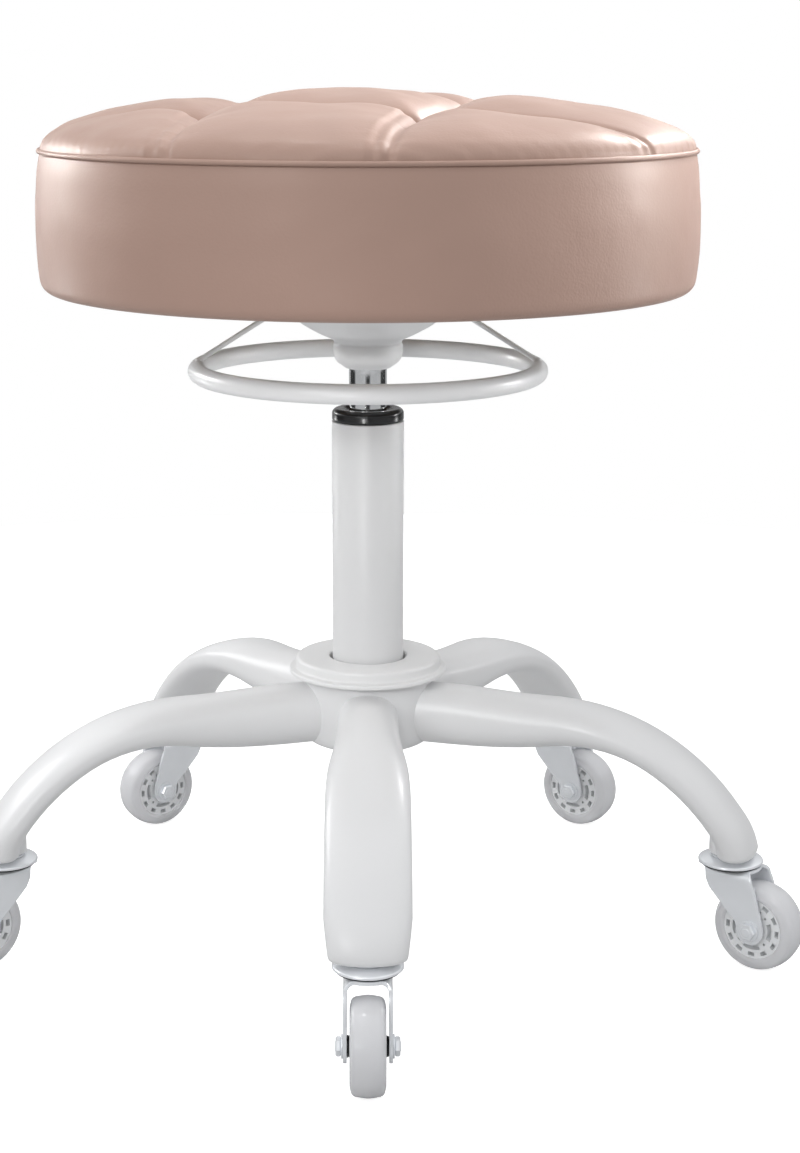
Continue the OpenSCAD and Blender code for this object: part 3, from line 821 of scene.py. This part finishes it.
def leg_section(x, z, tilt, width, depth, sides=56, power=2.25):
    """One cross-section of a leg, a slightly squared ellipse leaning with the curve of the leg."""
    ring = []
    c, s = math.cos(math.radians(tilt)), math.sin(math.radians(tilt))
    for i in range(sides):
        a = 2 * math.pi * i / sides
        across = math.copysign(abs(math.cos(a)) ** (2 / power), math.cos(a)) * width / 2
        up = math.copysign(abs(math.sin(a)) ** (2 / power), math.sin(a)) * depth / 2
        ring.append((x + up * s, across, z + up * c))
    return ring


def leg_shape(azimuth):
    """A leg that runs out level, bends down round an arc and turns its tip to the floor."""
    rings = []
    for x in (28, HUB_R + 4, *range(54, 111, 8)):
        depth = leg_depth(x)
        top = LEG_TOP - LEG_DROP * ramp(x, HUB_R + 8, BEND_X)
        rings.append(leg_section(x, top - depth / 2, 0, leg_width(x), depth))
    centre_z = LEG_TOP - LEG_DROP - BEND_R

    def on_arc(angle, r):
        return BEND_X + r * math.sin(math.radians(angle)), centre_z + r * math.cos(math.radians(angle))

    for angle in range(0, BEND_ANGLE + 1, 3):
        outer_x, _ = on_arc(angle, BEND_R)
        depth = leg_depth(outer_x)
        rings.append(leg_section(*on_arc(angle, BEND_R - depth / 2), angle, leg_width(outer_x), depth))
    # the tip rolls over to face the floor, rounded at its edge
    start_x, start_z = on_arc(BEND_ANGLE, BEND_R - TIP_DEPTH / 2)
    end_x = CASTER_X + 3.5
    for k in range(1, 7):
        t = k / 7
        x = start_x + (end_x - start_x) * (1 - (1 - t) ** 1.6)
        z = start_z + (TIP_Z + 3 - start_z) * t
        lean = BEND_ANGLE + (90 - BEND_ANGLE) * t
        rings.append(leg_section(x, z, lean, TIP_WIDTH - TIP_TAPER * t, TIP_DEPTH + 4 * t))
    for inset, height in ((0.0, 3.0), (0.5, 1.3), (1.5, 0.4), (2.8, 0.0)):
        width = TIP_WIDTH - TIP_TAPER - 2 * inset
        rings.append(leg_section(end_x, TIP_Z + height, 90, width, TIP_DEPTH + 4.5 - 2 * inset))
    points, faces = loft(rings)
    c, s = math.cos(azimuth), math.sin(azimuth)
    return [(x * c - y * s, x * s + y * c, z) for x, y, z in points], faces


def boss_shape(x, y):
    """Round boss that fills the inner corner between the leg and the stem socket."""
    bottom, top = TIP_Z + 0.3, TIP_Z + 16
    outline = rounded([(1, bottom), (11.5, bottom), (11.5, top), (1, top)], [0, 1.4, 1, 0], 4)
    inward = 1 - 2 / math.hypot(x, y)
    return moved(spin(outline, 64), (x * inward, y * inward, 0))


places = [name.replace("caster_swivel_", "") for name in joints if name.startswith("caster_swivel_")]

for where in places:
    x, y, _ = [v / MM for v in joints["caster_swivel_" + where]["pos_m"]]
    shape = joined(leg_shape(math.atan2(y, x)), boss_shape(x, y))
    piece("leg_arm_" + where, shape, "white_enamel", "base", ("leg_" + where,), 42)


# ---- casters -----------------------------------------------------------------

WHEEL_R = (box_mm("tyre_front")[1].z - box_mm("tyre_front")[0].z) / 2
TYRE_HALF = 10.0
CORE_R = 19.0
TRAIL = 21.0  # from the swivel axis to the axle
CHEEK = 12.5  # from the middle of the wheel to the middle of a fork cheek
FORK_BEND, FORK_FOOT_R, FORK_DISC_R = 5.0, 9.0, 19.5
PLATE_Z = box_mm("fork_front")[1].z - 5.75


def fork_path():
    """The bend of the fork from one cheek's foot over the plate to the other, as (y, z)."""
    side = [(-CHEEK, WHEEL_R - FORK_FOOT_R * math.cos(math.radians(a))) for a in range(8, 91, 9)]
    side += [(-CHEEK, z) for z in np.linspace(WHEEL_R + 1.5, PLATE_Z - FORK_BEND, 12)]
    for a in range(15, 91, 15):
        c, s = math.cos(math.radians(a)), math.sin(math.radians(a))
        side.append((-CHEEK + FORK_BEND * (1 - c), PLATE_Z - FORK_BEND + FORK_BEND * s))
    side += [(y, PLATE_Z) for y in (-5, -2.5)]
    return [*side, (0, PLATE_Z), *[(-y, z) for y, z in reversed(side)]]


def fork_edges(y, z):
    """Where the sheet begins and ends along the trail direction at one point of the bend."""
    if z <= WHEEL_R:
        half = math.sqrt(max(0.0, FORK_FOOT_R**2 - (z - WHEEL_R) ** 2))
        return TRAIL - half, TRAIL + half
    top = PLATE_Z - FORK_BEND
    back = np.interp(z, [WHEEL_R, WHEEL_R + 3, top - 8, top - 3, top], [12, 12.4, -7, -9.6, -10])
    front = np.interp(z, [WHEEL_R, WHEEL_R + 4, top - 4, top], [30, 29.6, 23, 21])
    if z > top:
        t = min(1, (CHEEK - abs(y)) / FORK_BEND)
        disc = math.sqrt(FORK_DISC_R**2 - min(CHEEK, abs(y)) ** 2)
        return back + (-disc - back) * t, front + (disc - front) * t
    return back, front


def fork_sheet():
    """The fork as one bent sheet without thickness."""
    path = fork_path()
    across = 14
    points, faces = [], []
    for y, z in path:
        back, front = fork_edges(y, z)
        points += [(back + (front - back) * k / across, y, z) for k in range(across + 1)]
    row = across + 1
    for j in range(len(path) - 1):
        for k in range(j * row, j * row + across):
            faces.append((k, k + 1, row + k + 1, row + k))
    return points, faces


def wheel_disc():
    """The wheel core: a turned body with moulded pockets on both faces."""
    half = TYRE_HALF - 1
    radii = [7, 8.8, 10.3, 11.1, 12.6, 13.4, 15.2, 17.8, CORE_R]
    turns = 96
    work = bmesh.new()
    sides = []
    for face_y in (-half, half):
        sides.append([[work.verts.new((x, face_y, z)) for x, z in circle(0, 0, r, turns)] for r in radii])
    pockets = []
    for grid, sign in zip(sides, (-1, 1)):
        for i in range(len(radii) - 1):
            for k in range(turns):
                j = (k + 1) % turns
                face = work.faces.new((grid[i][k], grid[i + 1][k], grid[i + 1][j], grid[i][j]))
                # four long pockets with a dot between them, and twelve small ones further out
                angle = (k + 0.5) * 360 / turns
                quarter = abs((angle + 45) % 90 - 45)
                slot = i in (2, 3, 4) and quarter < 25
                dot = i == 3 and abs(quarter - 45) < 5
                outer = i == 6 and abs((angle + 15) % 30 - 15) < 8
                if slot or dot or outer:
                    pockets.append((face, sign))
    for i in (0, len(radii) - 1):
        for k in range(turns):
            j = (k + 1) % turns
            work.faces.new((sides[0][i][k], sides[0][i][j], sides[1][i][j], sides[1][i][k]))
    bmesh.ops.recalc_face_normals(work, faces=work.faces)
    for sign in (-1, 1):
        chosen = [face for face, s in pockets if s == sign]
        made = bmesh.ops.extrude_face_region(work, geom=chosen)
        moved_verts = [g for g in made["geom"] if isinstance(g, bmesh.types.BMVert)]
        bmesh.ops.delete(work, geom=chosen, context="FACES_ONLY")
        bmesh.ops.translate(work, verts=moved_verts, vec=(0, -5 * sign, 0))
    work.verts.ensure_lookup_table()
    work.verts.index_update()
    shape = ([tuple(v.co) for v in work.verts], [tuple(v.index for v in f.verts) for f in work.faces])
    work.free()
    return shape


def tyre_outline():
    """Section of the tyre, flat at the tread and round at its shoulders."""
    edge, shoulder = CORE_R + 1.8, WHEEL_R - 1.2
    return rounded([
        (CORE_R, -TYRE_HALF + 0.6), (edge, -TYRE_HALF), (shoulder, -TYRE_HALF + 1.2), (WHEEL_R, -1.5),
        (WHEEL_R, 1.5), (shoulder, TYRE_HALF - 1.2), (edge, TYRE_HALF), (CORE_R, TYRE_HALF - 0.6)],
        [0.3, 1.2, 5.5, 1.4, 1.4, 5.5, 1.2, 0.3], 7)


def race_cap():
    """The pressed cap of the swivel bearing, on top of the fork."""
    outline = [(6, PLATE_Z + 1.9), (19.2, PLATE_Z + 1.9), (20, PLATE_Z + 2.4), (19.6, PLATE_Z + 3.9),
               (16, PLATE_Z + 4.9), (12.8, PLATE_Z + 5.7), (6, PLATE_Z + 5.7)]
    return spin(rounded(outline, [0.2, 0.5, 0.6, 0.9, 1.6, 0.5, 0.2], 4), 96)


def shade_gap_ring():
    """A black ring that fills the gap between the cap and the fork: painted shade for the shadowed slit of the
    bearing.
    """
    low, high = PLATE_Z + 0.9, PLATE_Z + 2.0
    return spin([(6, low), (18.4, low), (18.4, high), (6, high)], 96)


def axle_bolt():
    """The axle with a washer and a hexagon at each end."""
    parts = [spin([(0, -18), (2.4, -18), (3, -17.4), (3, 17.4), (2.4, 18), (0, 18)], 32, "Y")]
    for side in (-1, 1):
        near, far = sorted((side * 13.6, side * 14.5))
        washer = rounded([(2.9, near), (6.6, near), (6.6, far), (2.9, far)], 0.25, 2)
        near, far = sorted((side * 14.5, side * 17.6))
        parts += [spin(washer, 48, "Y"), hexagon(5.4, near, far)]
    return joined(*parts)


def axle_spacers():
    """A spacer between the wheel and each cheek."""
    parts = []
    for side in (-1, 1):
        near, far = sorted((side * 9.1, side * 11.4))
        outline = rounded([(3.1, near), (6.2, near), (5.4, far), (3.1, far)], 0.25, 2)
        parts.append(spin(outline, 48, "Y"))
    return joined(*parts)


def fold_sheet(fork):
    """Gives the fork its 2 mm thickness and soft edges."""
    thick = fork.modifiers.new("sheet", "SOLIDIFY")
    thick.thickness, thick.offset = 0.002, 0
    edge = fork.modifiers.new("edge", "BEVEL")
    edge.width, edge.segments = 0.0004, 2
    edge.limit_method, edge.angle_limit = "ANGLE", math.radians(50)
    apply_modifiers(fork)


fork_shape, core_shape, tyre_shape = fork_sheet(), wheel_disc(), spin(tyre_outline(), 120, "Y")
cap_shape, shade_gap_shape, axle_shape, spacer_shape = race_cap(), shade_gap_ring(), axle_bolt(), axle_spacers()

for where in places:
    pivot = Vector(joints["caster_swivel_" + where]["pos_m"])
    hub = Vector(joints["wheel_spin_" + where]["pos_m"])
    heading = math.atan2(hub.y - pivot.y, hub.x - pivot.x)
    turn = Matrix.Rotation(heading, 4, "Z")
    at_pivot = Matrix.Translation((pivot.x, pivot.y, 0)) @ turn
    at_wheel = Matrix.Translation(hub) @ turn
    caster, wheel = "caster_" + where, "wheel_" + where
    fork = piece("fork_plate_" + where, fork_shape, "zinc", caster, ("fork_" + where,), 50, at_pivot)
    fold_sheet(fork)
    piece("race_cap_" + where, cap_shape, "zinc", caster, (), 40, at_pivot)
    # black ring of painted shade in the gap under the bearing cap
    piece("race_gap_" + where, shade_gap_shape, "black_plastic", caster, (), 40, at_pivot)
    piece("axle_bolt_" + where, axle_shape, "zinc", caster, ("axle_" + where,), 40, at_wheel)
    piece("axle_spacers_" + where, spacer_shape, "black_plastic", caster, (), 40, at_wheel)
    piece("tyre_ring_" + where, tyre_shape, "clear_tyre", wheel, ("tyre_" + where,), 40, at_wheel)
    piece("core_disc_" + where, core_shape, "grey_core", wheel, ("wheel_core_" + where,), 30, at_wheel)
